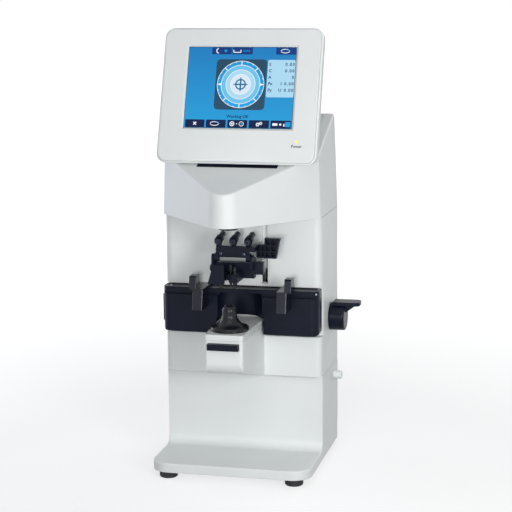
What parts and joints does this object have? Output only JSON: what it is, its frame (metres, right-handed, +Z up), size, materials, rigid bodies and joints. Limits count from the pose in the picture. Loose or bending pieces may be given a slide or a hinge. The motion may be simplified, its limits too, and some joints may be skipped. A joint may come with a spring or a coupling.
{
  "type": "auto lensmeter",
  "caption": "Automatic lensmeter with tilting screen, lens rest on a nose, sliding lens table worked by a side lever, lens holder and swinging marker.",
  "frame": {"origin": "middle of the object's footprint box on the plane that its feet stand on", "axes": "+Z up, front with the screen and lens rest towards -Y, +X to the user's right"},
  "size_m": [0.207, 0.1886, 0.4683],
  "materials": {
    "warm_white_plastic": "satin",
    "grey_plastic": "satin",
    "black_plastic": "satin",
    "black_turned": "satin",
    "steel_sheet": "satin",
    "ground_steel": "polished",
    "gear_brass": "satin",
    "rubber": "matt",
    "optical_glass": "polished",
    "screen_glass": "polished",
    "circuit_board": "satin",
    "light_green": "gloss",
    "pen_metal": "polished"
  },
  "bodies": {
    "stand": {"rubber_feet": "rubber", "foot_screws": "steel_sheet", "base_plate": "steel_sheet", "base_stand": "warm_white_plastic", "side_panel_left": "warm_white_plastic", "side_panel_right": "warm_white_plastic", "body_cover": "warm_white_plastic", "rear_panel": "grey_plastic", "rear_panel_screws": "steel_sheet", "head_housing": "warm_white_plastic", "service_cover": "warm_white_plastic", "nose_housing": "warm_white_plastic", "nose_top_plate": "grey_plastic", "lens_rest": "black_turned", "rest_window": "optical_glass", "sensor_barrel": "black_turned", "sensor_board": "circuit_board", "read_switch": "black_plastic", "chassis": "steel_sheet", "guide_rods": "ground_steel", "shaft_bushes": "gear_brass", "optics_arm": "steel_sheet", "light_barrel": "black_turned", "lamp_board": "circuit_board", "objective_ring": "black_turned", "collimator_lens": "optical_glass", "main_board": "circuit_board", "power_supply": "steel_sheet", "power_inlet": "black_plastic", "data_ports": "black_plastic", "power_switch": "black_plastic", "rail_bracket": "steel_sheet", "holder_rail": "ground_steel", "hinge_bracket": "steel_sheet", "hinge_pin": "ground_steel"},
    "screen": {"monitor_bezel": "warm_white_plastic", "monitor_back": "warm_white_plastic", "monitor_neck": "black_plastic", "touch_glass": "screen_glass", "display_panel": "black_plastic", "display_board": "circuit_board", "power_light": "light_green"},
    "table": {"lens_table": "black_plastic", "table_racks": "black_plastic"},
    "lever": {"table_lever": "black_plastic", "lever_shaft": "ground_steel", "sector_gears": "gear_brass"},
    "clip_left": {"frame_clip_left": "black_plastic"},
    "clip_right": {"frame_clip_right": "black_plastic"},
    "holder": {"lens_holder": "black_plastic", "holder_stem": "steel_sheet", "lens_pins": "black_turned", "lift_knob": "black_plastic"},
    "marker": {"pen_carrier": "black_plastic", "marking_pens": "black_plastic", "pen_tips": "pen_metal", "marking_lever": "black_plastic", "carrier_screws": "black_turned"},
    "read_bar": {"read_bar": "black_plastic"},
    "power_button": {"power_button": "warm_white_plastic"}
  },
  "joints": [
    {"name": "screen_tilt", "type": "hinge", "parent": "stand", "child": "screen", "pos_m": [-0.0155, -0.0053, 0.331], "axis": [-1, 0, 0], "range_deg": [-2.5, 13]},
    {"name": "table_slide", "type": "slide", "parent": "stand", "child": "table", "axis": [0, -1, 0], "range_m": [0, 0.033]},
    {"name": "lever_turn", "type": "hinge", "parent": "stand", "child": "lever", "pos_m": [-0.0155, 0.0452, 0.1568], "axis": [1, 0, 0], "range_deg": [0, 74.2]},
    {"name": "clip_left_slide", "type": "slide", "parent": "table", "child": "clip_left", "axis": [-1, 0, 0], "range_m": [-0.006, 0.025]},
    {"name": "clip_right_slide", "type": "slide", "parent": "table", "child": "clip_right", "axis": [1, 0, 0], "range_m": [-0.008, 0.025]},
    {"name": "holder_lower", "type": "slide", "parent": "stand", "child": "holder", "axis": [0, 0, -1], "range_m": [0, 0.015]},
    {"name": "marker_swing", "type": "hinge", "parent": "holder", "child": "marker", "pos_m": [-0.0155, -0.04537, 0.234], "axis": [1, 0, 0], "range_deg": [0, 78.5]},
    {"name": "read_press", "type": "slide", "parent": "stand", "child": "read_bar", "axis": [0, 1, 0], "range_m": [0, 0.002], "stiffness_N_per_m": 800},
    {"name": "power_press", "type": "slide", "parent": "stand", "child": "power_button", "axis": [-1, 0, 0], "range_m": [0, 0.003], "stiffness_N_per_m": 600}
  ],
  "couplings": [
    {"joint": "lever_turn", "follows": "table_slide", "rad_per_m": 39.216}
  ]
}
